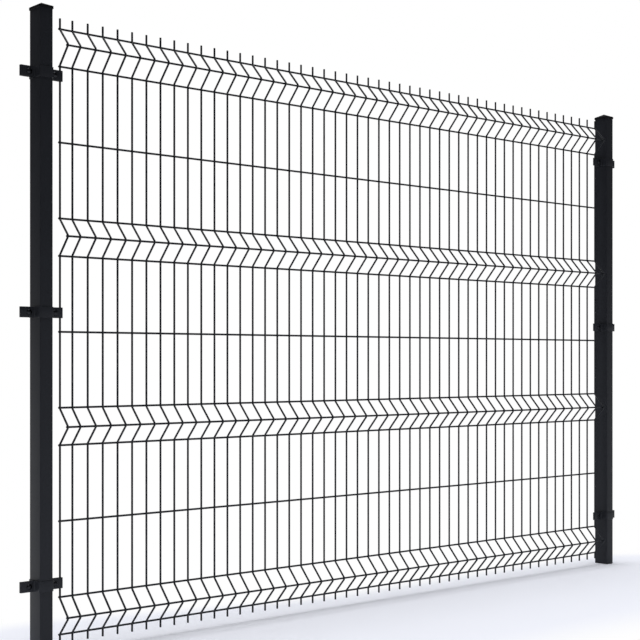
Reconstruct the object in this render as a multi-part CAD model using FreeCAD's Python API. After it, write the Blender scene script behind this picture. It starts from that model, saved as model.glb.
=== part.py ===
"""Welded mesh fence panel: one bay of folded wire mesh between two capped posts.

Millimetres. X runs along the fence from the left post to the right post, Y runs
away from the viewer and Z runs up. The origin is on the ground at the middle of
the left post's foot. The upright wires lie in the plane Y = 0, which is also
the middle plane of the posts and the parting plane of the clamps.
"""
import FreeCAD, Part

import math
import os

from FreeCAD import Vector

# Posts: rectangular tube
POST_WIDTH = 40.0
POST_DEPTH = 60.0
POST_WALL = 2.0
POST_CORNER_RADIUS = 3.0
POST_HEIGHT = 1806.0

# Caps: a rim round the tube's end, a pyramid on top and a plug inside
CAP_OVERHANG = 2.5
CAP_RIM_ABOVE = 3.0
CAP_RIM_BELOW = 5.0
CAP_PYRAMID_RISE = 12.0
CAP_PLUG_DEPTH = 18.0
CAP_PLUG_WALL = 2.0
CAP_CLEARANCE = 0.25

# Mesh: upright wires, each welded to the front of level wires that end behind the end wires
WIRE = 6.0
WIRE_COUNT = 50
WIRE_PITCH = 50.0
FIRST_GAP = 40.0
END_WIRE_OFFSET = 59.0
END_WIRE_LAP = 1.5
LOWEST_LEVEL_WIRE = 47.5
SPIKE_ABOVE = 28.5
STUB_BELOW = 22.5

# Folds: stiffening beams pressed forward into the mesh
FOLD_COUNT = 4
FOLD_HEIGHT = 106.0
FOLD_DEPTH = 44.0
CELLS_BETWEEN_FOLDS = 2
CELL_HEIGHT = 214.5
SEAT_TRIM = 0.5

# Nodes that the mesh is divided into, side by side
SECTION_NAMES = (
    "mesh_left_end",
    "mesh_left",
    "mesh_middle",
    "mesh_right",
    "mesh_right_end",
)

# Clamps: two bent strips round the post, bolted together beside it
CLAMP_HEIGHTS = {"bottom": 195.0, "middle": 956.5, "top": 1624.0}
CLAMP_STRIP_HEIGHT = 30.0
CLAMP_THICKNESS = 2.0
CLAMP_CLEARANCE = 0.25
CLAMP_WING_RADIUS = 6.0
CLAMP_LIP_RADIUS = 1.0
CLAMP_LIP_GAP = 1.0
CLAMP_WIRE_CLEARANCE = 0.15
CLAMP_HOOK_ROOM = 2.0
CLAMP_BOLT_OFFSET = 40.0
CLAMP_BOLT_HOLE = 8.5


def plan(u, v):
    """A point of a profile that is drawn in plan."""
    return Vector(u, v, 0.0)


def side(u, v):
    """A point of a profile that is drawn in the side view."""
    return Vector(0.0, u, v)


def unit(start, end):
    """Direction from one point of a profile to another."""
    du = end[0] - start[0]
    dv = end[1] - start[1]
    length = math.hypot(du, dv)
    return du / length, dv / length


def offset_line(points, distance):
    """Shift an open line sideways to its left, with mitred corners."""
    shifted = []
    for index, point in enumerate(points):
        into = unit(points[max(index - 1, 0)], points[max(index, 1)])
        last = len(points) - 1
        out = unit(points[min(index, last - 1)], points[min(index + 1, last)])
        normal = (-into[1] - out[1], into[0] + out[0])
        stretch = distance * 2.0 / (normal[0] ** 2 + normal[1] ** 2)
        shifted.append((point[0] + normal[0] * stretch, point[1] + normal[1] * stretch))
    return shifted


def turn_between(before, corner, after):
    """Angle by which a line turns to its left at a corner."""
    into = unit(before, corner)
    out = unit(corner, after)
    cross = into[0] * out[1] - into[1] * out[0]
    dot = into[0] * out[0] + into[1] * out[1]
    return math.atan2(cross, dot)


def rounded_edges(points, radii, place):
    """Straight and arc edges along an open line whose inner corners are rounded."""
    edges = []
    start = points[0]
    for index in range(1, len(points) - 1):
        corner = points[index]
        into = unit(points[index - 1], corner)
        out = unit(corner, points[index + 1])
        turn = abs(turn_between(points[index - 1], corner, points[index + 1]))
        radius = radii[index - 1]
        trim = radius * math.tan(turn / 2.0)
        entry = (corner[0] - into[0] * trim, corner[1] - into[1] * trim)
        leave = (corner[0] + out[0] * trim, corner[1] + out[1] * trim)
        inward = unit((0.0, 0.0), (out[0] - into[0], out[1] - into[1]))
        bulge = radius / math.cos(turn / 2.0) - radius
        crest = (corner[0] + inward[0] * bulge, corner[1] + inward[1] * bulge)
        edges.append(Part.LineSegment(place(*start), place(*entry)).toShape())
        edges.append(Part.Arc(place(*entry), place(*crest), place(*leave)).toShape())
        start = leave
    edges.append(Part.LineSegment(place(*start), place(*points[-1])).toShape())
    return edges


def bent_strip_face(middle, inner_radii, thickness, place):
    """Face of a strip of even thickness that is bent along its middle line."""
    sides = []
    for sign in (1.0, -1.0):
        radii = []
        for index, inner in enumerate(inner_radii):
            turn = turn_between(middle[index], middle[index + 1], middle[index + 2])
            on_inside = turn * sign > 0.0
            radii.append(inner if on_inside else inner + thickness)
        line = offset_line(middle, sign * thickness / 2.0)
        sides.append((line, rounded_edges(line, radii, place)))
    (left_line, left_edges), (right_line, right_edges) = sides
    first_end = Part.LineSegment(place(*left_line[0]), place(*right_line[0])).toShape()
    last_end = Part.LineSegment(place(*left_line[-1]), place(*right_line[-1])).toShape()
    outline = Part.Wire(Part.__sortEdges__(left_edges + [last_end] + right_edges + [first_end]))
    return Part.Face(outline)


def rounded_block(width, depth, height, radius, base):
    """Upright block about the Z axis with rounded upright edges."""
    block = Part.makeBox(width, depth, height, Vector(-width / 2.0, -depth / 2.0, base))
    upright = [edge for edge in block.Edges if abs(edge.tangentAt(edge.FirstParameter).z) > 0.5]
    return block.makeFillet(radius, upright)


def pyramid(width, depth, rise, base):
    """Four-sided pyramid about the Z axis."""
    corners = [
        Vector(-width / 2.0, -depth / 2.0, base),
        Vector(width / 2.0, -depth / 2.0, base),
        Vector(width / 2.0, depth / 2.0, base),
        Vector(-width / 2.0, depth / 2.0, base),
    ]
    apex = Vector(0.0, 0.0, base + rise)
    faces = [Part.Face(Part.makePolygon(corners + corners[:1]))]
    for index, corner in enumerate(corners):
        following = corners[(index + 1) % len(corners)]
        faces.append(Part.Face(Part.makePolygon([corner, following, apex, corner])))
    return Part.Solid(Part.Shell(faces))


def post():
    """Rectangular tube, open at both ends."""
    inner_radius = max(POST_CORNER_RADIUS - POST_WALL, POST_WALL / 4.0)
    outside = rounded_block(POST_WIDTH, POST_DEPTH, POST_HEIGHT, POST_CORNER_RADIUS, 0.0)
    inside = rounded_block(
        POST_WIDTH - 2.0 * POST_WALL,
        POST_DEPTH - 2.0 * POST_WALL,
        POST_HEIGHT,
        inner_radius,
        0.0,
    )
    return outside.cut(inside)


def cap():
    """Pyramid cap that sits on the tube's end, with a rim outside and a plug inside."""
    width = POST_WIDTH + 2.0 * CAP_OVERHANG
    depth = POST_DEPTH + 2.0 * CAP_OVERHANG
    radius = POST_CORNER_RADIUS + CAP_OVERHANG
    rim_base = POST_HEIGHT - CAP_RIM_BELOW
    rim_top = POST_HEIGHT + CAP_RIM_ABOVE
    rim = rounded_block(width, depth, rim_top - rim_base, radius, rim_base)
    socket = rounded_block(
        POST_WIDTH + 2.0 * CAP_CLEARANCE,
        POST_DEPTH + 2.0 * CAP_CLEARANCE,
        CAP_RIM_BELOW,
        POST_CORNER_RADIUS + CAP_CLEARANCE,
        rim_base,
    )
    top = pyramid(width, depth, CAP_PYRAMID_RISE, rim_top)
    top = top.common(rounded_block(width, depth, CAP_PYRAMID_RISE, radius, rim_top))
    plug_width = POST_WIDTH - 2.0 * (POST_WALL + CAP_CLEARANCE)
    plug_depth = POST_DEPTH - 2.0 * (POST_WALL + CAP_CLEARANCE)
    plug = rounded_block(plug_width, plug_depth, CAP_PLUG_DEPTH, CAP_PLUG_WALL, POST_HEIGHT - CAP_PLUG_DEPTH)
    bore = Part.makeBox(
        plug_width - 2.0 * CAP_PLUG_WALL,
        plug_depth - 2.0 * CAP_PLUG_WALL,
        CAP_PLUG_DEPTH,
        Vector(
            CAP_PLUG_WALL - plug_width / 2.0,
            CAP_PLUG_WALL - plug_depth / 2.0,
            POST_HEIGHT - CAP_PLUG_DEPTH,
        ),
    )
    return rim.cut(socket).multiFuse([top, plug.cut(bore)])


def fold_bases():
    """Height of the lowest level wire of each fold."""
    step = FOLD_HEIGHT + CELLS_BETWEEN_FOLDS * CELL_HEIGHT
    return [LOWEST_LEVEL_WIRE + index * step for index in range(FOLD_COUNT)]


def level_wires():
    """Y and Z of the middle of each level wire, behind the upright wires."""
    behind = WIRE
    places = []
    for base in fold_bases():
        places.append((behind, base))
        places.append((behind - FOLD_DEPTH, base + FOLD_HEIGHT / 2.0))
        places.append((behind, base + FOLD_HEIGHT))
    for base in fold_bases()[:-1]:
        for cell in range(1, CELLS_BETWEEN_FOLDS):
            places.append((behind, base + FOLD_HEIGHT + cell * CELL_HEIGHT))
    return places


def upright_line():
    """Middle line of an upright wire, with a short flat seat at each level wire of a fold."""
    seat = WIRE / 2.0 - SEAT_TRIM
    bases = fold_bases()
    line = [(0.0, bases[0] - STUB_BELOW)]
    for base in bases:
        tip = base + FOLD_HEIGHT / 2.0
        line.append((0.0, base + seat))
        line.append((-FOLD_DEPTH, tip - seat))
        line.append((-FOLD_DEPTH, tip + seat))
        line.append((0.0, base + FOLD_HEIGHT - seat))
    line.append((0.0, bases[-1] + FOLD_HEIGHT + SPIKE_ABOVE))
    return line


def upright_wire():
    """Square bar along the folded middle line, centred on X = 0."""
    line = upright_line()
    front = offset_line(line, WIRE / 2.0)
    back = offset_line(line, -WIRE / 2.0)
    outline = [side(*point) for point in front + back[::-1]]
    face = Part.Face(Part.makePolygon(outline + outline[:1]))
    wire = face.extrude(Vector(WIRE, 0.0, 0.0))
    wire.translate(Vector(-WIRE / 2.0, 0.0, 0.0))
    return wire


def upright_positions():
    """X of each upright wire."""
    positions = [END_WIRE_OFFSET]
    for index in range(WIRE_COUNT - 1):
        positions.append(END_WIRE_OFFSET + FIRST_GAP + index * WIRE_PITCH)
    return positions


def post_spacing():
    """Distance between the middles of the two posts."""
    return upright_positions()[-1] + END_WIRE_OFFSET


def mesh_sections():
    """The mesh as sections side by side, each one fused where its wires cross."""
    positions = upright_positions()
    count = len(SECTION_NAMES)
    cuts = [len(positions) * index // count for index in range(count + 1)]
    pattern = upright_wire()
    sections = {}
    for index, name in enumerate(SECTION_NAMES):
        inside = positions[cuts[index]:cuts[index + 1]]
        left = inside[0] - END_WIRE_LAP
        if index > 0:
            left = (positions[cuts[index] - 1] + inside[0]) / 2.0
        right = inside[-1] + END_WIRE_LAP
        if index < count - 1:
            right = (inside[-1] + positions[cuts[index + 1]]) / 2.0
        uprights = [pattern.translated(Vector(x, 0.0, 0.0)) for x in inside]
        levels = []
        for y, z in level_wires():
            corner = Vector(left, y - WIRE / 2.0, z - WIRE / 2.0)
            levels.append(Part.makeBox(right - left, WIRE, WIRE, corner))
        sections[name] = uprights[0].multiFuse(uprights[1:] + levels)
    return sections


def clamp_front():
    """Front half of a clamp, round the post's front, with a hook for a wire at each side."""
    half = CLAMP_THICKNESS / 2.0
    web_y = -(POST_DEPTH / 2.0 + CLAMP_CLEARANCE + half)
    leg_x = POST_WIDTH / 2.0 + CLAMP_CLEARANCE + half
    reach = WIRE / 2.0 + CLAMP_WIRE_CLEARANCE + half
    lip_x = END_WIRE_OFFSET + reach + CLAMP_HOOK_ROOM
    right = [(leg_x, web_y), (leg_x, -reach), (lip_x, -reach), (lip_x, -CLAMP_LIP_GAP / 2.0)]
    left = [(-x, y) for x, y in reversed(right)]
    side_radii = [POST_CORNER_RADIUS + CLAMP_CLEARANCE, CLAMP_WING_RADIUS, CLAMP_LIP_RADIUS]
    radii = side_radii[::-1] + side_radii
    face = bent_strip_face(left + right, radii, CLAMP_THICKNESS, plan)
    strip = face.extrude(Vector(0.0, 0.0, CLAMP_STRIP_HEIGHT))
    holes = []
    for x in (-CLAMP_BOLT_OFFSET, CLAMP_BOLT_OFFSET):
        start = Vector(x, -POST_DEPTH, CLAMP_STRIP_HEIGHT / 2.0)
        holes.append(Part.makeCylinder(CLAMP_BOLT_HOLE / 2.0, POST_DEPTH, start, Vector(0.0, 1.0, 0.0)))
    strip = strip.cut(holes)
    strip.translate(Vector(0.0, 0.0, -CLAMP_STRIP_HEIGHT / 2.0))
    return strip


def save(name, shape):
    """Write one sub-part as a file of its own, as a single solid."""
    solid = shape.Solids[0] if len(shape.Solids) == 1 else shape
    if len(shape.Solids) != 1 or not solid.isValid():
        raise ValueError(name + " is not one valid solid")
    solid.exportStep("parts/" + name + ".step")


def main():
    os.makedirs("parts", exist_ok=True)
    post_shape = post()
    cap_shape = cap()
    front_shape = clamp_front()
    rear_shape = front_shape.mirror(Vector(0.0, 0.0, 0.0), Vector(0.0, 1.0, 0.0))
    for post_name, x in (("left", 0.0), ("right", post_spacing())):
        save(post_name + "_post", post_shape.translated(Vector(x, 0.0, 0.0)))
        save(post_name + "_cap", cap_shape.translated(Vector(x, 0.0, 0.0)))
        for level_name, z in CLAMP_HEIGHTS.items():
            place = Vector(x, 0.0, z)
            clamp_name = post_name + "_clamp_" + level_name
            save(clamp_name + "_front", front_shape.translated(place))
            save(clamp_name + "_rear", rear_shape.translated(place))
    for name, section in mesh_sections().items():
        save(name, section)


main()
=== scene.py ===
"""Welded mesh fence panel: round wires, tube posts, caps, clamps and bolts with their finishes.

Metres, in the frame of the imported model: X along the fence from the left post, Y away from
the viewer, Z up, and the origin in the middle of the left post's foot.
"""

import logging
import math
from dataclasses import dataclass, field
from enum import Enum

import bpy
import numpy as np
from numpy.typing import NDArray
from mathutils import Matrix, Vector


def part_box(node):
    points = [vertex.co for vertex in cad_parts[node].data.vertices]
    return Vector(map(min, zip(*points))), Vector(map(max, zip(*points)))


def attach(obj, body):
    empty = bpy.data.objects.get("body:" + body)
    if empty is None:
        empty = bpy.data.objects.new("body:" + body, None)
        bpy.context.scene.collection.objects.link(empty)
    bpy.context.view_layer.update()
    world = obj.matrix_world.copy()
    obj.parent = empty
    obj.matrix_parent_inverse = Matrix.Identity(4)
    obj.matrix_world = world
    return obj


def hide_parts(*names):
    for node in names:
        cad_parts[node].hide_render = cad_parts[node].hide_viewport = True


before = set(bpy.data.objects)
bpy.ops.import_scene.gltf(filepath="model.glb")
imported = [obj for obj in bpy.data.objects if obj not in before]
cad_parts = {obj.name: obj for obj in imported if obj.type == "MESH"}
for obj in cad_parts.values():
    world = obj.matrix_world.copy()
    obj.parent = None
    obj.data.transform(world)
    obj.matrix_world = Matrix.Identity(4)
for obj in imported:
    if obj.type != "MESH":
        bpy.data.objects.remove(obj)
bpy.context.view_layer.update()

MM = 0.001
WIRE_RADIUS = 3.0 * MM
# Setback and inset halfway round a quarter circle, as a share of its radius
HALFWAY = 0.3
# Octaves and roughness of the three noises of a coat
CLOUD_NOISE = (4.0, 0.6)
RELIEF_NOISE = (2.0, 0.5)
GRAIN_NOISE = (1.0, 0.5)
BODY = "root"
LOG = logging.getLogger("fence")

Array = NDArray[np.float64]
Indices = NDArray[np.int64]


class Slot(Enum):
    """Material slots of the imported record."""

    TUBE = "coated_tube"
    WIRE = "coated_wire"
    STRIP = "coated_strip"
    CAP = "cap_plastic"


class Half(Enum):
    """The two bent strips of a clamp, by the side of the post that they wrap."""

    FRONT = -1.0
    REAR = 1.0


# Shader helpers


def linear_colour(code: str) -> tuple[float, float, float, float]:
    """Turn an sRGB hex colour into linear light.

    Args:
        code: colour as #RRGGBB.

    Returns:
        Red, green, blue and an alpha of 1, each from 0 to 1.
    """
    steps = np.array([int(code[i:i + 2], 16) for i in (1, 3, 5)]) / 255.0
    light = np.where(steps <= 0.04045, steps / 12.92, ((steps + 0.055) / 1.055) ** 2.4)
    return (*(float(v) for v in light), 1.0)


def add_node(
    tree: bpy.types.NodeTree,
    kind: str,
    settings: dict[str | int, object] | None = None,
    links: dict[str | int, bpy.types.NodeSocket] | None = None,
) -> bpy.types.Node:
    """Add a node with its settings and links.

    Args:
        tree: the node tree that it joins.
        kind: the node's type name.
        settings: attribute or input name, or input number, to its value.
        links: input name or number to the output that feeds it.

    Returns:
        The new node.
    """
    node = tree.nodes.new(kind)
    for key, value in (settings or {}).items():
        if isinstance(key, int) or key in node.inputs:
            node.inputs[key].default_value = value
        else:
            setattr(node, key, value)
    for key, source in (links or {}).items():
        tree.links.new(source, node.inputs[key])
    return node


@dataclass(frozen=True)
class CoatFinish:
    """A thin opaque skin with a soft relief: powder coat, moulded plastic or a metal plating."""

    name: str
    shade: str
    shade_worn: str
    roughness: float
    roughness_spread: float
    specular: float
    metallic: float
    relief_mm: float
    relief_depth_mm: float
    grain_mm: float
    grain_depth_mm: float
    cloud_mm: float = 90.0
    cloud_range: tuple[float, float] = (0.3, 0.7)

    def material(self) -> bpy.types.Material:
        """Make the finish: a slow cloud shifts colour and gloss, two noises make the relief.

        Returns:
            The material.
        """
        made = bpy.data.materials.new(self.name)
        made.use_nodes = True
        tree = made.node_tree
        tree.nodes.clear()
        place = add_node(tree, "ShaderNodeTexCoord").outputs["Object"]
        cloud, relief, grain = (
            add_node(
                tree,
                "ShaderNodeTexNoise",
                {"Scale": 1.0 / (size * MM), "Detail": octaves, "Roughness": rough},
                {"Vector": place},
            )
            for size, (octaves, rough) in (
                (self.cloud_mm, CLOUD_NOISE),
                (self.relief_mm, RELIEF_NOISE),
                (self.grain_mm, GRAIN_NOISE),
            )
        )
        tint = add_node(
            tree,
            "ShaderNodeMix",
            {"data_type": "RGBA", 6: linear_colour(self.shade), 7: linear_colour(self.shade_worn)},
            {0: cloud.outputs["Fac"]},
        )
        gloss = add_node(
            tree,
            "ShaderNodeMapRange",
            {
                "From Min": self.cloud_range[0],
                "From Max": self.cloud_range[1],
                "To Min": self.roughness - self.roughness_spread,
                "To Max": self.roughness + self.roughness_spread,
            },
            {"Value": cloud.outputs["Fac"]},
        )
        swell = add_node(
            tree,
            "ShaderNodeBump",
            {"Strength": 1.0, "Distance": self.relief_depth_mm * MM},
            {"Height": relief.outputs["Fac"]},
        )
        skin = add_node(
            tree,
            "ShaderNodeBump",
            {"Strength": 1.0, "Distance": self.grain_depth_mm * MM},
            {"Height": grain.outputs["Fac"], "Normal": swell.outputs["Normal"]},
        )
        shader = add_node(
            tree,
            "ShaderNodeBsdfPrincipled",
            {"Metallic": self.metallic, "Specular IOR Level": self.specular},
            {
                "Base Color": tint.outputs[2],
                "Roughness": gloss.outputs["Result"],
                "Normal": skin.outputs["Normal"],
            },
        )
        add_node(tree, "ShaderNodeOutputMaterial", None, {"Surface": shader.outputs["BSDF"]})
        return made


# Polyester powder coat baked on steel: satin black, with the faint orange peel that the
# powder leaves as it flows together, about 2 mm from crest to crest.
TUBE_COAT = CoatFinish(
    name="black_polyester_powder_coat_on_tube",
    shade="#2F3136",
    shade_worn="#33353A",
    roughness=0.36,
    roughness_spread=0.04,
    specular=0.115,
    metallic=0.0,
    relief_mm=2.2,
    relief_depth_mm=0.02,
    grain_mm=0.5,
    grain_depth_mm=0.003,
)
# The same coat on thin wire, where it draws tight and shows finer peel.
WIRE_COAT = CoatFinish(
    name="black_polyester_powder_coat_on_wire",
    shade="#2B2D31",
    shade_worn="#313338",
    roughness=0.40,
    roughness_spread=0.04,
    specular=0.14,
    metallic=0.0,
    relief_mm=1.6,
    relief_depth_mm=0.012,
    grain_mm=0.4,
    grain_depth_mm=0.003,
)
# The same coat on pressed strip steel, a little thinner and flatter over the bends.
STRIP_COAT = CoatFinish(
    name="black_polyester_powder_coat_on_strip",
    shade="#2F3136",
    shade_worn="#33353A",
    roughness=0.34,
    roughness_spread=0.05,
    specular=0.12,
    metallic=0.0,
    relief_mm=1.8,
    relief_depth_mm=0.014,
    grain_mm=0.4,
    grain_depth_mm=0.003,
)
# Polyamide moulded in a spark-eroded tool: an even matt grain of about 0.6 mm.
CAP_PLASTIC = CoatFinish(
    name="black_moulded_polyamide",
    shade="#191A1C",
    shade_worn="#1F2022",
    roughness=0.5,
    roughness_spread=0.05,
    specular=0.08,
    metallic=0.0,
    relief_mm=0.6,
    relief_depth_mm=0.012,
    grain_mm=0.25,
    grain_depth_mm=0.006,
)
# Zinc-plated steel passivated black: a dark metal sheen with slight cloudiness.
BOLT_PLATING = CoatFinish(
    name="black_passivated_zinc_plated_steel",
    shade="#282A2E",
    shade_worn="#323337",
    roughness=0.34,
    roughness_spread=0.08,
    specular=0.5,
    metallic=1.0,
    relief_mm=3.0,
    relief_depth_mm=0.01,
    grain_mm=0.3,
    grain_depth_mm=0.002,
    cloud_mm=6.0,
)


# Shape helpers


@dataclass
class Surface:
    """Points of a mesh with its four-sided faces and its flat end faces."""

    points: Array
    quads: Indices
    ends: list[Indices] = field(default_factory=list)

    @classmethod
    def from_grid(cls, grid: Array, close_ends: bool = True) -> "Surface":
        """Skin a grid of rows whose points run round, the last joined to the first.

        Each quad joins point k of row j to k + 1 of row j, and on to row j + 1.

        Args:
            grid: rows by points round by 3, running so that the faces point outwards.
            close_ends: whether a flat face closes the first and the last row.

        Returns:
            The closed surface.
        """
        rows, around, _ = grid.shape
        here = np.arange(rows * around).reshape(rows, around)
        beside = np.roll(here, -1, axis=1)
        quads = np.stack([here[:-1], beside[:-1], beside[1:], here[1:]], axis=-1).reshape(-1, 4)
        ends = [here[0][::-1][None, :], here[-1][None, :]] if close_ends else []
        return cls(grid.reshape(-1, 3), quads, ends)

    @classmethod
    def from_ring(cls, grid: Array) -> "Surface":
        """Skin a grid whose rows also close on themselves, the last row joined to the first.

        Args:
            grid: rows by points round by 3, running so that the faces point outwards.

        Returns:
            The closed surface, which has no end faces.
        """
        rows, around, _ = grid.shape
        here = np.arange(rows * around).reshape(rows, around)
        beside = np.roll(here, -1, axis=1)
        above = np.roll(here, -1, axis=0)
        corner = np.roll(beside, -1, axis=0)
        quads = np.stack([here, beside, corner, above], axis=-1).reshape(-1, 4)
        return cls(grid.reshape(-1, 3), quads)

    def repeated(self, shifts: Array) -> "Surface":
        """Copy the surface to many places at once: every point plus every shift.

        Args:
            shifts: places by 3.

        Returns:
            One surface that holds all the copies.
        """
        count = len(shifts)
        points = (self.points[None] + shifts[:, None]).reshape(-1, 3)
        step = np.arange(count) * len(self.points)
        quads = (self.quads[None] + step[:, None, None]).reshape(-1, 4)
        ends = [(end[None] + step[:, None, None]).reshape(-1, end.shape[1]) for end in self.ends]
        return Surface(points, quads, ends)

    @staticmethod
    def joined(parts: list["Surface"]) -> "Surface":
        """Put several surfaces into one, with their points numbered on.

        Args:
            parts: the surfaces, in order.

        Returns:
            One surface that holds them all.
        """
        starts = np.cumsum([0] + [len(part.points) for part in parts[:-1]])
        points = np.concatenate([part.points for part in parts])
        quads = np.concatenate([part.quads + start for part, start in zip(parts, starts)])
        ends = [end + start for part, start in zip(parts, starts) for end in part.ends]
        return Surface(points, quads, ends)

    def object(
        self, name: str, finish: bpy.types.Material, slot: Slot, sharp: float = 40.0
    ) -> bpy.types.Object:
        """Write the surface into a mesh object that rides on the fence.

        Args:
            name: the object's name.
            finish: its material.
            slot: the record's slot that the finish stands for; not used.
            sharp: angle in degrees over which an edge stays crisp.

        Returns:
            The object, at the origin.
        """
        faces = [self.quads, *self.ends]
        corners = np.concatenate([face.reshape(-1) for face in faces])
        totals = np.concatenate([np.full(len(face), face.shape[1]) for face in faces])
        mesh = bpy.data.meshes.new(name)
        mesh.vertices.add(len(self.points))
        mesh.vertices.foreach_set("co", self.points.astype(np.float32).reshape(-1))
        mesh.loops.add(len(corners))
        mesh.loops.foreach_set("vertex_index", corners.astype(np.int32))
        mesh.polygons.add(len(totals))
        mesh.polygons.foreach_set("loop_start", (np.cumsum(totals) - totals).astype(np.int32))
        mesh.polygons.foreach_set("use_smooth", np.ones(len(totals), bool))
        mesh.update(calc_edges=True)
        mesh.validate()
        mesh.set_sharp_from_angle(angle=math.radians(sharp))
        mesh.materials.append(finish)
        made = bpy.data.objects.new(name, mesh)
        bpy.context.scene.collection.objects.link(made)
        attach(made, BODY)
        return made


def rounded_line(corners: Array, radii: Array, steps: int) -> tuple[Array, Array]:
    """Round the inner corners of a flat open line with arcs.

    At a corner that turns by angle a, the arc of radius r starts r tan(a/2) before it. Its
    points are the start plus r sin(s) along the way in, and r (1 - cos(s)) to the side of
    the turn, for s from 0 to a.

    Args:
        corners: points by 2, from end to end.
        radii: one radius for each inner corner.
        steps: spans on each arc.

    Returns:
        The points of the rounded line and its directions there.
    """
    runs = np.diff(corners, axis=0)
    ways = runs / np.linalg.norm(runs, axis=1, keepdims=True)
    into, out = ways[:-1], ways[1:]
    turn = np.arctan2(into[:, 0] * out[:, 1] - into[:, 1] * out[:, 0], (into * out).sum(axis=1))
    sides = np.stack([-into[:, 1], into[:, 0]], axis=1) * np.sign(turn)[:, None]
    entry = corners[1:-1] - into * (radii * np.tan(np.abs(turn) / 2.0))[:, None]
    swing = np.abs(turn)[:, None] * np.linspace(0.0, 1.0, steps + 1)[None]
    along = (radii[:, None] * np.sin(swing))[..., None]
    across = (radii[:, None] * (1.0 - np.cos(swing)))[..., None]
    arcs = entry[:, None] + along * into[:, None] + across * sides[:, None]
    heading = np.cos(swing)[..., None] * into[:, None] + np.sin(swing)[..., None] * sides[:, None]
    points = np.concatenate([corners[:1], arcs.reshape(-1, 2), corners[-1:]])
    headings = np.concatenate([ways[:1], heading.reshape(-1, 2), ways[-1:]])
    return points, headings


def sweep(points: Array, headings: Array, section: Array, easing: float) -> Array:
    """Carry a section along a flat line, with eased ends.

    Each row is the line's point plus the section's first size to the left of the line and
    its second size square to the line's plane. The first and last rows are drawn in by the
    easing, and set back from the full section by as much. The row between them lies halfway
    round the eased edge.

    Args:
        points: points of the line, by 2.
        headings: directions there, by 2.
        section: points of the section, by 2, running round.
        easing: width of the eased edge at both ends.

    Returns:
        Rows by points round by 3: along the line's plane first, then square to it.
    """
    reach = np.abs(section).max(axis=0)
    drawn_in = section * (1.0 - easing / reach)
    middle = section * (1.0 - HALFWAY * easing / reach)
    first, last = points[:1], points[-1:]
    way_in, way_out = headings[:1] * easing, headings[-1:] * easing
    spots = np.concatenate([
        first, first + HALFWAY * way_in, first + way_in,
        points[1:-1],
        last - way_out, last - HALFWAY * way_out, last,
    ])
    ways = np.concatenate([
        np.repeat(headings[:1], 3, axis=0), headings[1:-1], np.repeat(headings[-1:], 3, axis=0),
    ])
    shapes = np.stack([drawn_in, middle, *[section] * len(points), middle, drawn_in])
    left = np.stack([-ways[:, 1], ways[:, 0]], axis=1)
    flat = spots[:, None] + shapes[..., :1] * left[:, None]
    return np.concatenate([flat, shapes[..., 1:]], axis=-1)


def circle(radius: float, count: int) -> Array:
    """Points round a circle: radius times cosine and sine of even angles."""
    angle = np.linspace(0.0, 2.0 * np.pi, count, endpoint=False)
    return radius * np.stack([np.cos(angle), np.sin(angle)], axis=1)


def rounded_rectangles(half_width: Array, half_depth: Array, radius: Array, steps: int) -> Array:
    """Outlines of rectangles with rounded corners, one for each row of sizes.

    Every outline is four quarter circles whose middles are the corners set in by the
    radius, joined by the straight sides.

    Args:
        half_width: half of each rectangle's first size.
        half_depth: half of its second size.
        radius: its corner radius.
        steps: spans on each quarter circle.

    Returns:
        Rows by points round by 2, running anticlockwise.
    """
    turn = np.linspace(0.0, 0.5 * np.pi, steps + 1)
    angle = (turn[None] + 0.5 * np.pi * np.arange(4)[:, None]).reshape(-1)
    sign_x = np.repeat([1.0, -1.0, -1.0, 1.0], steps + 1)
    sign_y = np.repeat([1.0, 1.0, -1.0, -1.0], steps + 1)
    x = sign_x * (half_width - radius)[:, None] + radius[:, None] * np.cos(angle)
    y = sign_y * (half_depth - radius)[:, None] + radius[:, None] * np.sin(angle)
    return np.stack([x, y], axis=-1)


def standing_rings(rows: list[tuple[float, float, float, float]], steps: int) -> Array:
    """Stack rounded rectangles up, each at its own height.

    Args:
        rows: half width, half depth, corner radius and height of each.
        steps: spans on each quarter circle.

    Returns:
        Rows by points round by 3.
    """
    half_width, half_depth, radius, height = np.array(rows).T
    outline = rounded_rectangles(half_width, half_depth, radius, steps)
    level = np.broadcast_to(height[:, None, None], outline.shape[:2] + (1,))
    return np.concatenate([outline, level], axis=-1)


def turned(profile: Array, steps: int) -> Array:
    """Turn a profile about the Y axis: radius times sine and cosine of the angle, at its Y.

    Args:
        profile: radius and Y of each row.
        steps: points round.

    Returns:
        Rows by points round by 3.
    """
    angle = np.linspace(0.0, 2.0 * np.pi, steps, endpoint=False)
    x = profile[:, :1] * np.sin(angle)
    z = profile[:, :1] * np.cos(angle)
    y = np.broadcast_to(profile[:, 1:], x.shape)
    return np.stack([x, y, z], axis=-1)


# Parts of the fence


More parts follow.
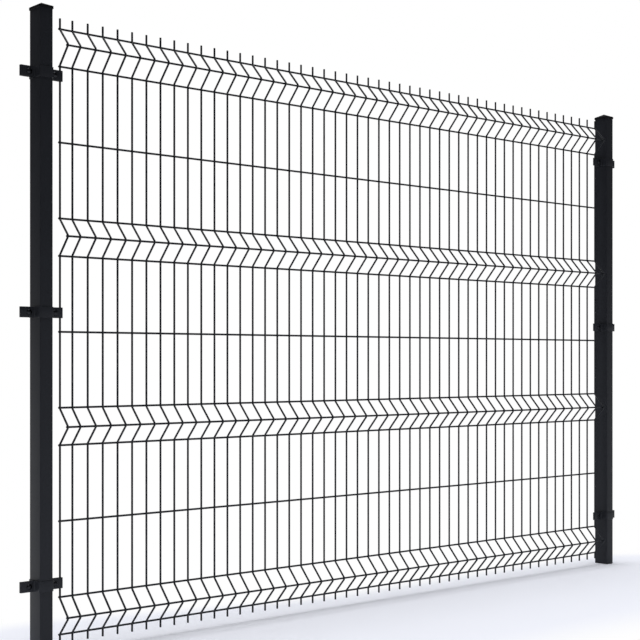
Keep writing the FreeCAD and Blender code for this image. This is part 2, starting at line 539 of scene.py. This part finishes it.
@dataclass
class TubePost:
    """Rectangular steel tube with rounded corners and deburred cut ends."""

    node: str
    wall: float = 2.0 * MM
    corner: float = 3.0 * MM
    deburr: float = 0.4 * MM
    corner_steps: int = 8

    def surface(self) -> Surface:
        """Close the tube's wall: up the outside, over the top, down the bore and out again.

        Returns:
            The tube's skin in its place.
        """
        low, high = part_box(self.node)
        half = (high - low) / 2.0
        outer = (half.x, half.y, self.corner)
        eased = tuple(size - self.deburr for size in outer)
        bore = (half.x - self.wall, half.y - self.wall, self.corner - self.wall)
        bore_eased = tuple(size + self.deburr for size in bore)
        rows = [
            (*eased, low.z),
            (*outer, low.z + self.deburr),
            (*outer, high.z - self.deburr),
            (*eased, high.z),
            (*bore_eased, high.z),
            (*bore, high.z - self.deburr),
            (*bore, low.z + self.deburr),
            (*bore_eased, low.z),
        ]
        skin = Surface.from_ring(standing_rings(rows, self.corner_steps))
        middle = (low + high) / 2.0
        return skin.repeated(np.array([[middle.x, middle.y, 0.0]]))

    def build(self, finish: bpy.types.Material) -> bpy.types.Object:
        """Make the post in its finish.

        Args:
            finish: its material.

        Returns:
            The tube, which stands for the post's node.
        """
        made = self.surface().object(self.node + "_tube", finish, Slot.TUBE)
        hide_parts(self.node)
        return made


@dataclass
class PyramidCap:
    """Moulded cap: a rim round the tube, a plug inside it and a low pyramid with soft edges."""

    node: str
    post: TubePost
    clearance: float = 0.25 * MM
    rim_above: float = 3.0 * MM
    rim_below: float = 5.0 * MM
    plug_depth: float = 18.0 * MM
    plug_wall: float = 2.0 * MM
    hollow_corner: float = 0.5 * MM
    overhang: float = 2.5 * MM
    edge: float = 0.9 * MM
    edge_rows: int = 5
    crest_angle: float = 0.38 * math.pi
    slope_shares: tuple[float, ...] = (0.33, 0.66, 0.93)
    apex_share: float = 0.025
    corner_steps: int = 8
    crease: float = 50.0

    def rows(self) -> list[tuple[float, float, float, float]]:
        """Work out the outlines from inside the plug, round the rim and up to the apex.

        The rim's lower edge is a quarter circle, and its upper edge is an arc that ends
        where the pyramid begins. The pyramid's outline shrinks evenly towards the apex,
        which is blunted at a fortieth of its width.

        Returns:
            Rows of half width, half depth, corner radius and height.
        """
        low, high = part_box(self.node)
        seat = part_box(self.post.node)[1].z
        half = (high - low) / 2.0
        rim_base = seat - self.rim_below
        rim_top = seat + self.rim_above
        corner = self.post.corner
        outside = np.array([half.x, half.y, corner + self.overhang])
        tube = outside - self.overhang
        socket = tube + self.clearance
        plug = tube - self.post.wall - self.clearance
        hollow = plug - self.plug_wall
        plug[2] = self.plug_wall
        hollow[2] = self.hollow_corner
        rows = [
            (*hollow, seat),
            (*hollow, seat - self.plug_depth),
            (*plug, seat - self.plug_depth),
            (*plug, seat),
            (*socket, seat),
            (*socket, rim_base),
        ]
        for angle in np.linspace(-0.5 * np.pi, 0.0, self.edge_rows):
            inset = self.edge * (1.0 - math.cos(angle))
            rows.append((*(outside - inset), rim_base + self.edge * (1.0 + math.sin(angle))))
        for angle in np.linspace(0.0, self.crest_angle, self.edge_rows):
            inset = self.edge * (1.0 - math.cos(angle))
            rows.append((*(outside - inset), rim_top - self.edge * (1.0 - math.sin(angle))))
        crest = np.array(rows[-1])
        for share in self.slope_shares:
            rows.append((*(crest[:3] * (1.0 - share)), crest[3] + (high.z - crest[3]) * share))
        rows.append((*(crest[:3] * self.apex_share), high.z))
        return rows

    def build(self, finish: bpy.types.Material) -> bpy.types.Object:
        """Make the cap in its finish.

        Args:
            finish: its material.

        Returns:
            The moulding, which stands for the cap's node.
        """
        low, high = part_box(self.node)
        middle = (low + high) / 2.0
        skin = Surface.from_grid(standing_rings(self.rows(), self.corner_steps))
        placed = skin.repeated(np.array([[middle.x, middle.y, 0.0]]))
        made = placed.object(self.node + "_moulding", finish, Slot.CAP, self.crease)
        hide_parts(self.node)
        return made


@dataclass
class WeldedMesh:
    """Fifty upright wires bent through four folds, welded to the front of level wires."""

    nodes: tuple[str, ...] = ("mesh_left_end", "mesh_left", "mesh_middle", "mesh_right", "mesh_right_end")
    wire_radius: float = WIRE_RADIUS
    pitch: float = 50.0 * MM
    first_gap: float = 40.0 * MM
    end_lap: float = 1.5 * MM
    upright_count: int = 50
    stub_below: float = 22.5 * MM
    fold_count: int = 4
    fold_height: float = 106.0 * MM
    fold_depth: float = 44.0 * MM
    cell_height: float = 214.5 * MM
    seat_trim: float = 0.5 * MM
    cut_edge: float = 0.7 * MM
    around: int = 12
    bend_steps: int = 7
    bead_radius: float = 2.8 * MM
    bead_half_thickness: float = 1.4 * MM
    bead_pole: float = 0.06 * math.pi
    bead_rows: int = 5
    bead_around: int = 8
    crease: float = 50.0

    def fold_bases(self) -> Array:
        """Heights of the lowest level wire of each fold, a fold and two cells apart."""
        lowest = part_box(self.nodes[0])[0].z + self.stub_below
        return lowest + np.arange(self.fold_count) * (self.fold_height + 2.0 * self.cell_height)

    def upright_line(self) -> tuple[Array, Array]:
        """Round the middle line of an upright wire through its folds.

        A leg leans at angle a, so an arc that starts level with a level wire has the radius
        seat / tan(a/2), and the same radius rounds the fold's tip at the fold's depth.

        Returns:
            Points and directions of the line, as Y and Z.
        """
        low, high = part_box(self.nodes[0])
        seat = self.wire_radius - self.seat_trim
        rise = self.fold_height / 2.0 - 2.0 * seat
        lean = math.atan2(self.fold_depth, rise)
        radius = seat / math.tan(lean / 2.0)
        bases = self.fold_bases()
        tip = -self.fold_depth - seat * math.tan(lean)
        foot = np.stack([np.zeros_like(bases), bases + seat], axis=1)
        point = np.stack([np.full_like(bases, tip), bases + self.fold_height / 2.0], axis=1)
        head = np.stack([np.zeros_like(bases), bases + self.fold_height - seat], axis=1)
        bends = np.stack([foot, point, head], axis=1).reshape(-1, 2)
        corners = np.concatenate([[[0.0, low.z]], bends, [[0.0, high.z]]])
        return rounded_line(corners, np.full(len(bends), radius), self.bend_steps)

    def upright(self) -> Surface:
        """Sweep a round wire along the folded line, at X = 0."""
        grid = sweep(*self.upright_line(), circle(self.wire_radius, self.around), self.cut_edge)
        return Surface.from_grid(np.stack([grid[..., 2], grid[..., 0], grid[..., 1]], axis=-1))

    def upright_places(self) -> Array:
        """Space the upright wires: the first gap is narrower than the pitch.

        Returns:
            X of every upright wire.
        """
        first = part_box(self.nodes[0])[0].x + self.wire_radius
        rest = first + self.first_gap + np.arange(self.upright_count - 1) * self.pitch
        return np.concatenate([[first], rest])

    def level_places(self) -> Array:
        """Place the level wires: three to a fold and one between two cells.

        Returns:
            Y and Z of every level wire.
        """
        bases = self.fold_bases()
        behind = 2.0 * self.wire_radius
        half = self.fold_height / 2.0
        low = np.stack([np.full_like(bases, behind), bases], axis=1)
        tip = np.stack([np.full_like(bases, behind - self.fold_depth), bases + half], axis=1)
        top = low + [0.0, self.fold_height]
        between = top[:-1] + [0.0, self.cell_height]
        return np.concatenate([low, tip, top, between])

    def level_wire(self, start: float, end: float) -> Surface:
        """Sweep a straight round wire from one X to another.

        Args:
            start: X of its first end.
            end: X of its other end.

        Returns:
            The wire, at Y = Z = 0.
        """
        line = np.array([[start, 0.0], [end, 0.0]])
        ways = np.array([[1.0, 0.0], [1.0, 0.0]])
        return Surface.from_grid(sweep(line, ways, circle(self.wire_radius, self.around), self.cut_edge))

    def bead(self) -> Surface:
        """Shape the metal squeezed out of one weld: a flat ellipsoid about the contact point.

        The radius is the sine and Y the negative cosine of the angle from the pole, each
        times its half axis.

        Returns:
            The bead about the origin.
        """
        angle = np.linspace(self.bead_pole, np.pi - self.bead_pole, self.bead_rows)
        half_axes = [self.bead_radius, -self.bead_half_thickness]
        profile = np.stack([np.sin(angle), np.cos(angle)], axis=1) * half_axes
        return Surface.from_grid(turned(profile, self.bead_around))

    def build_section(self, node: str, finish: bpy.types.Material) -> bpy.types.Object:
        """Make the wires and welds of one section of the mesh.

        Args:
            node: the section's node.
            finish: its material.

        Returns:
            One mesh with the section's uprights, level wires and weld beads.
        """
        low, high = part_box(node)
        places = self.upright_places()
        inside = places[(places > low.x) & (places < high.x)]
        levels = self.level_places()
        uprights = self.upright().repeated(np.stack([inside, 0.0 * inside, 0.0 * inside], axis=1))
        level_shifts = np.concatenate([np.zeros((len(levels), 1)), levels], axis=1)
        start = max(low.x, places[0] - self.end_lap)
        end = min(high.x, places[-1] + self.end_lap)
        level_wires = self.level_wire(start, end).repeated(level_shifts)
        # The uprights touch a level wire one radius in front of its middle
        contact = levels - [self.wire_radius, 0.0]
        x, index = np.meshgrid(inside, np.arange(len(levels)))
        spots = np.concatenate([x.reshape(-1, 1), contact[index.reshape(-1)]], axis=1)
        beads = self.bead().repeated(spots)
        skin = Surface.joined([uprights, level_wires, beads])
        made = skin.object(node + "_wires", finish, Slot.WIRE, self.crease)
        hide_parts(node)
        return made


@dataclass
class StripClamp:
    """Clamp of two bent strips round a post, closed on the end wires by a bolt at each side."""

    post: str
    level: str
    thickness: float = 2.0 * MM
    post_gap: float = 0.25 * MM
    post_corner: float = 3.0 * MM
    wing_radius: float = 6.0 * MM
    lip_radius: float = 1.0 * MM
    lip_gap: float = 1.0 * MM
    wire_gap: float = 0.15 * MM
    wire_radius: float = WIRE_RADIUS
    sheared_edge: float = 0.35 * MM
    edge_steps: int = 3
    bend_steps: int = 8
    crease: float = 35.0

    def node(self, half: Half) -> str:
        """Name of the node of one half."""
        return f"{self.post}_clamp_{self.level}_{half.name.lower()}"

    def wing_reach(self) -> float:
        """Distance from the wire's middle to the middle of a wing's thickness."""
        return self.wire_radius + self.wire_gap + self.thickness / 2.0

    def line(self, half: Half) -> tuple[Array, Array]:
        """Round the middle line of one strip, in plan, from lip to lip.

        Args:
            half: which strip.

        Returns:
            Points and directions of the line, as X and Y from the post's middle.
        """
        post_low, post_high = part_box(self.post + "_post")
        low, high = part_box(self.node(half))
        mid = self.thickness / 2.0
        leg = (post_high.x - post_low.x) / 2.0 + self.post_gap + mid
        web = (post_high.y - post_low.y) / 2.0 + self.post_gap + mid
        lip = (high.x - low.x) / 2.0 - mid
        reach = self.wing_reach()
        right = np.array([[leg, web], [leg, reach], [lip, reach], [lip, self.lip_gap / 2.0]])
        left = right[::-1] * [-1.0, 1.0]
        corners = np.concatenate([left, right]) * [1.0, half.value]
        inner = np.array([self.post_corner + self.post_gap, self.wing_radius, self.lip_radius])
        radii = np.concatenate([inner[::-1], inner]) + mid
        return rounded_line(corners, radii, self.bend_steps)

    def strip(self, half: Half) -> Surface:
        """Sweep the flat bar's section along the line of one half.

        Args:
            half: which strip.

        Returns:
            The strip in its place.
        """
        low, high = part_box(self.node(half))
        section = rounded_rectangles(
            np.array([self.thickness / 2.0]),
            np.array([(high.z - low.z) / 2.0]),
            np.array([self.sheared_edge]),
            self.edge_steps,
        )[0]
        grid = sweep(*self.line(half), section, self.sheared_edge)
        centre = (low + high) / 2.0
        return Surface.from_grid(grid).repeated(np.array([[centre.x, 0.0, centre.z]]))

    def build(self, half: Half, finish: bpy.types.Material) -> bpy.types.Object:
        """Make one strip in its finish.

        Args:
            half: which strip.
            finish: its material.

        Returns:
            The strip, which stands for the half's node.
        """
        made = self.strip(half).object(self.node(half) + "_strip", finish, Slot.STRIP, self.crease)
        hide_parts(self.node(half))
        return made


@dataclass
class ClampBolts:
    """The two cup head bolts of a clamp, each with its washer and nut behind the rear wing."""

    clamp: StripClamp
    offset: float = 40.0 * MM
    shank_radius: float = 4.0 * MM
    head_radius: float = 8.2 * MM
    head_height: float = 4.4 * MM
    head_rim: float = 0.5 * MM
    head_pole: float = 0.04 * math.pi
    head_rows: int = 8
    foot_insets: tuple[float, float] = (0.15 * MM, 0.3 * MM)
    foot_lifts: tuple[float, float] = (0.05 * MM, 0.0)
    washer_radius: float = 8.0 * MM
    washer_thickness: float = 1.6 * MM
    washer_ease: float = 0.2 * MM
    nut_flats: float = 13.0 * MM
    nut_height: float = 6.5 * MM
    nut_face_share: float = 0.97
    nut_corner_share: float = 1.16
    nut_chamfer_share: float = 0.12
    thread_pitch: float = 1.25 * MM
    thread_depth: float = 0.5 * MM
    thread_start: float = 0.1 * MM
    tip_chamfer: float = 0.9 * MM
    tail: float = 4.0 * MM
    around: int = 24
    crease: float = 30.0

    def head(self, face: float) -> Surface:
        """Dome whose radius follows a quarter ellipse, standing on the front wing.

        A low rim carries the dome, and its foot is drawn in where it meets the wing.

        Args:
            face: Y of the wing's front.

        Returns:
            The cup head about X = Z = 0.
        """
        angle = np.linspace(self.head_pole, 0.5 * np.pi, self.head_rows)
        dome = np.stack([
            self.head_radius * np.sin(angle),
            face - self.head_rim - (self.head_height - self.head_rim) * np.cos(angle),
        ], axis=1)
        foot = np.stack([
            self.head_radius - np.array(self.foot_insets),
            face - np.array(self.foot_lifts),
        ], axis=1)
        return Surface.from_grid(turned(np.concatenate([dome, foot]), self.around))

    def thread(self, start: float, end: float) -> Surface:
        """Shank between the wings and through the nut, with a crest each pitch.

        The radius falls and rises as a triangle wave of the distance along the bolt.

        Args:
            start: Y of the first crest.
            end: Y of the bolt's tip.

        Returns:
            The threaded shank about X = Z = 0.
        """
        turns = int((end - start) / self.thread_pitch)
        along = np.arange(2 * turns + 1) * self.thread_pitch / 2.0
        radius = self.shank_radius - self.thread_depth * (np.arange(2 * turns + 1) % 2)
        profile = np.stack([radius, start + along], axis=1)
        tip = np.array([[self.shank_radius - self.tip_chamfer, end]])
        return Surface.from_grid(turned(np.concatenate([profile, tip]), self.around))

    def washer(self, face: float) -> Surface:
        """Flat disc with eased edges against the rear wing.

        Args:
            face: Y of the wing's back.

        Returns:
            The washer about X = Z = 0.
        """
        ease = self.washer_ease
        profile = np.array([
            [self.washer_radius - ease, face],
            [self.washer_radius, face + ease],
            [self.washer_radius, face + self.washer_thickness - ease],
            [self.washer_radius - ease, face + self.washer_thickness],
        ])
        return Surface.from_grid(turned(profile, self.around))

    def nut(self, face: float) -> Surface:
        """Hexagon whose corners are cut by a cone at both faces.

        Its radius is half the flats over the cosine of the angle from the nearest flat, or
        the cone's radius where that is less.

        Args:
            face: Y of the washer's back.

        Returns:
            The nut about X = Z = 0.
        """
        angle = np.linspace(0.0, 2.0 * np.pi, self.around, endpoint=False)
        nearest = np.mod(angle + np.pi / 6.0, np.pi / 3.0) - np.pi / 6.0
        hexagon = self.nut_flats / 2.0 / np.cos(nearest)
        small, wide, chamfer = self.nut_face_share, self.nut_corner_share, self.nut_chamfer_share
        cone = np.array([small, wide, wide, small]) * self.nut_flats / 2.0
        height = face + np.array([0.0, chamfer, 1.0 - chamfer, 1.0]) * self.nut_height
        radius = np.minimum(hexagon[None], cone[:, None])
        y = np.broadcast_to(height[:, None], radius.shape)
        return Surface.from_grid(np.stack([radius * np.sin(angle), y, radius * np.cos(angle)], axis=-1))

    def build(self, finish: bpy.types.Material) -> bpy.types.Object:
        """Make both bolts of the clamp as one piece in their finish.

        Args:
            finish: their material.

        Returns:
            The bolts, washers and nuts. They stand for no node.
        """
        wing = self.clamp.wing_reach() + self.clamp.thickness / 2.0
        nut_face = wing + self.washer_thickness
        bolt = Surface.joined([
            self.head(-wing),
            self.thread(-wing + self.thread_start, nut_face + self.nut_height + self.tail),
            self.washer(wing),
            self.nut(nut_face),
        ])
        low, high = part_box(self.clamp.node(Half.FRONT))
        centre = (low + high) / 2.0
        sides = np.array([-1.0, 1.0])
        middles = np.array([[centre.x, 0.0, centre.z]])
        places = middles + sides[:, None] * [self.offset, 0.0, 0.0]
        name = f"{self.clamp.post}_clamp_{self.clamp.level}_bolts"
        return bolt.repeated(places).object(name, finish, Slot.STRIP, self.crease)


# Studio


@dataclass
class Studio:
    """White backdrop and pale floor, one wide overhead light and a dim, even surround."""

    camera_place: tuple[float, float, float] = (-1.8344, -3.2968, 0.8213)
    camera_turn: float = 40.995
    focal_pixels: float = 1322.4
    horizon_row: float = 360.77
    image_pixels: float = 640.0
    sensor_mm: float = 36.0
    view_range: float = 200.0
    surround_strength: float = 0.10
    surround_shade: str = "#F8F9FF"
    mirror_band: tuple[float, float] = (-3.0, 4.0)
    floor_shade: str = "#F1F3FB"
    floor_radius: float = 2.6
    floor_sides: int = 96
    fade_start: float = 0.33
    fade_end: float = 0.50
    fade_front_share: float = 0.52
    fade_back_lead: float = 0.27
    fade_back_span: tuple[float, float] = (0.1, 1.3)
    key_strength: float = 2.95
    key_spread: float = 50.0
    key_tilt: tuple[float, float] = (-4.0, 0.0)

    def add_camera(self) -> None:
        """Place the level camera where the photograph's wire grid says it stood."""
        data = bpy.data.cameras.new("camera")
        data.sensor_width = self.sensor_mm
        data.lens = self.focal_pixels / self.image_pixels * self.sensor_mm
        data.shift_y = (self.horizon_row - self.image_pixels / 2.0) / self.image_pixels
        data.clip_end = self.view_range
        camera = bpy.data.objects.new("camera", data)
        camera.location = self.camera_place
        camera.rotation_euler = (math.radians(90.0), 0.0, math.radians(-self.camera_turn))
        bpy.context.scene.collection.objects.link(camera)
        bpy.context.scene.camera = camera

    def add_surround(self) -> None:
        """Light the fence dimly all round, and show the eye and mirrors a white backdrop.

        Mirrors see the backdrop up to about the eye's level. Above it the ceiling of the
        studio keeps the plain tone of the surround.
        """
        world = bpy.data.worlds.new("surround")
        world.use_nodes = True
        tree = world.node_tree
        tree.nodes.clear()
        path = add_node(tree, "ShaderNodeLightPath")
        bounced = add_node(
            tree,
            "ShaderNodeMath",
            {"operation": "MAXIMUM"},
            {0: path.outputs["Is Glossy Ray"], 1: path.outputs["Is Transmission Ray"]},
        )
        way = add_node(tree, "ShaderNodeTexCoord").outputs["Generated"]
        height = add_node(tree, "ShaderNodeSeparateXYZ", None, {"Vector": way}).outputs["Z"]
        low, high = (math.sin(math.radians(angle)) for angle in self.mirror_band)
        backdrop = add_node(
            tree,
            "ShaderNodeMapRange",
            {
                "interpolation_type": "SMOOTHSTEP",
                "From Min": low,
                "From Max": high,
                "To Min": 1.0,
                "To Max": 0.0,
            },
            {"Value": height},
        )
        mirrored = add_node(
            tree,
            "ShaderNodeMath",
            {"operation": "MULTIPLY"},
            {0: bounced.outputs[0], 1: backdrop.outputs["Result"]},
        )
        white = add_node(
            tree,
            "ShaderNodeMath",
            {"operation": "MAXIMUM"},
            {0: path.outputs["Is Camera Ray"], 1: mirrored.outputs[0]},
        )
        light = add_node(
            tree,
            "ShaderNodeBackground",
            {"Color": linear_colour(self.surround_shade), "Strength": self.surround_strength},
        )
        sheet = add_node(tree, "ShaderNodeBackground", {"Color": (1.0, 1.0, 1.0, 1.0), "Strength": 1.0})
        mixed = add_node(
            tree,
            "ShaderNodeMixShader",
            None,
            {0: white.outputs[0], 1: light.outputs[0], 2: sheet.outputs[0]},
        )
        add_node(tree, "ShaderNodeOutputWorld", None, {"Surface": mixed.outputs[0]})
        bpy.context.scene.world = world

    def floor_finish(self, length: float) -> bpy.types.Material:
        """Pale matt floor that the eye sees fade to white behind and beside the fence.

        The fade grows with the distance from the fence's line. What lies in front of it
        counts for about half, and behind it the fade sets in sooner away from the left post.

        Args:
            length: X of the fence's far end.

        Returns:
            The material.
        """
        made = bpy.data.materials.new("pale_matt_studio_floor")
        made.use_nodes = True
        tree = made.node_tree
        tree.nodes.clear()
        place = add_node(tree, "ShaderNodeTexCoord").outputs["Object"]
        parts = add_node(tree, "ShaderNodeSeparateXYZ", None, {"Vector": place})
        from_middle = add_node(
            tree, "ShaderNodeMath", {"operation": "SUBTRACT", 1: length / 2.0}, {0: parts.outputs["X"]}
        )
        spread = add_node(tree, "ShaderNodeMath", {"operation": "ABSOLUTE"}, {0: from_middle.outputs[0]})
        past_end = add_node(
            tree, "ShaderNodeMath", {"operation": "SUBTRACT", 1: length / 2.0}, {0: spread.outputs[0]}
        )
        beyond = add_node(tree, "ShaderNodeMath", {"operation": "MAXIMUM", 1: 0.0}, {0: past_end.outputs[0]})
        front = add_node(
            tree,
            "ShaderNodeMath",
            {"operation": "MULTIPLY", 1: -self.fade_front_share},
            {0: parts.outputs["Y"]},
        )
        lead = add_node(
            tree,
            "ShaderNodeMapRange",
            {
                "interpolation_type": "SMOOTHSTEP",
                "From Min": self.fade_back_span[0],
                "From Max": self.fade_back_span[1],
                "To Max": self.fade_back_lead,
            },
            {"Value": parts.outputs["X"]},
        )
        back = add_node(
            tree,
            "ShaderNodeMath",
            {"operation": "ADD"},
            {0: parts.outputs["Y"], 1: lead.outputs["Result"]},
        )
        away = add_node(
            tree, "ShaderNodeMath", {"operation": "MAXIMUM"}, {0: back.outputs[0], 1: front.outputs[0]}
        )
        offset = add_node(
            tree, "ShaderNodeCombineXYZ", None, {"X": beyond.outputs[0], "Y": away.outputs[0]}
        )
        distance = add_node(
            tree, "ShaderNodeVectorMath", {"operation": "LENGTH"}, {0: offset.outputs[0]}
        )
        fade = add_node(
            tree,
            "ShaderNodeMapRange",
            {"interpolation_type": "SMOOTHSTEP", "From Min": self.fade_start, "From Max": self.fade_end},
            {"Value": distance.outputs["Value"]},
        )
        path = add_node(tree, "ShaderNodeLightPath")
        seen = add_node(
            tree,
            "ShaderNodeMath",
            {"operation": "MAXIMUM"},
            {0: path.outputs["Is Camera Ray"], 1: path.outputs["Is Glossy Ray"]},
        )
        share = add_node(
            tree, "ShaderNodeMath", {"operation": "MULTIPLY"}, {0: seen.outputs[0], 1: fade.outputs["Result"]}
        )
        matt = add_node(tree, "ShaderNodeBsdfDiffuse", {"Color": linear_colour(self.floor_shade)})
        white = add_node(tree, "ShaderNodeEmission", {"Color": (1.0, 1.0, 1.0, 1.0), "Strength": 1.0})
        mixed = add_node(
            tree, "ShaderNodeMixShader", None, {0: share.outputs[0], 1: matt.outputs[0], 2: white.outputs[0]}
        )
        add_node(tree, "ShaderNodeOutputMaterial", None, {"Surface": mixed.outputs[0]})
        return made

    def add_floor(self, length: float) -> None:
        """Lay the floor, a wide disc at ground level, under the fence.

        Args:
            length: X of the fence's far end.
        """
        disc = circle(self.floor_radius, self.floor_sides) + [length / 2.0, 0.0]
        mesh = bpy.data.meshes.new("floor")
        mesh.from_pydata(np.pad(disc, ((0, 0), (0, 1))), [], [range(len(disc))])
        mesh.materials.append(self.floor_finish(length))
        floor = bpy.data.objects.new("floor", mesh)
        bpy.context.scene.collection.objects.link(floor)

    def add_key(self) -> None:
        """Light the floor from far overhead, a little behind the fence, as a round panel would."""
        data = bpy.data.lights.new("overhead_panel", "SUN")
        data.energy = self.key_strength
        data.angle = math.radians(self.key_spread)
        key = bpy.data.objects.new("overhead_panel", data)
        key.rotation_euler = (*(math.radians(angle) for angle in self.key_tilt), 0.0)
        bpy.context.scene.collection.objects.link(key)

    def build(self) -> None:
        """Set up the camera, floor, lights and plain colour view."""
        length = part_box("right_post")[1].x
        self.add_camera()
        self.add_surround()
        self.add_floor(length)
        self.add_key()
        bpy.context.scene.view_settings.view_transform = "Standard"


def report(piece: bpy.types.Object) -> None:
    """Log a finished piece with its number of faces."""
    LOG.info("%s: %d faces", piece.name, len(piece.data.polygons))


def main() -> None:
    """Build the studio and then the fence from the posts outwards."""
    logging.basicConfig(level=logging.INFO, format="%(name)s %(message)s")
    Studio().build()
    tube, wire, strip, cap, plating = (
        finish.material() for finish in (TUBE_COAT, WIRE_COAT, STRIP_COAT, CAP_PLASTIC, BOLT_PLATING)
    )
    for side in ("left", "right"):
        post = TubePost(side + "_post")
        report(post.build(tube))
        report(PyramidCap(side + "_cap", post).build(cap))
        for level in ("bottom", "middle", "top"):
            clamp = StripClamp(side, level)
            for half in Half:
                report(clamp.build(half, strip))
            report(ClampBolts(clamp).build(plating))
    mesh = WeldedMesh()
    for node in mesh.nodes:
        report(mesh.build_section(node, wire))


if __name__ == "__main__":
    main()
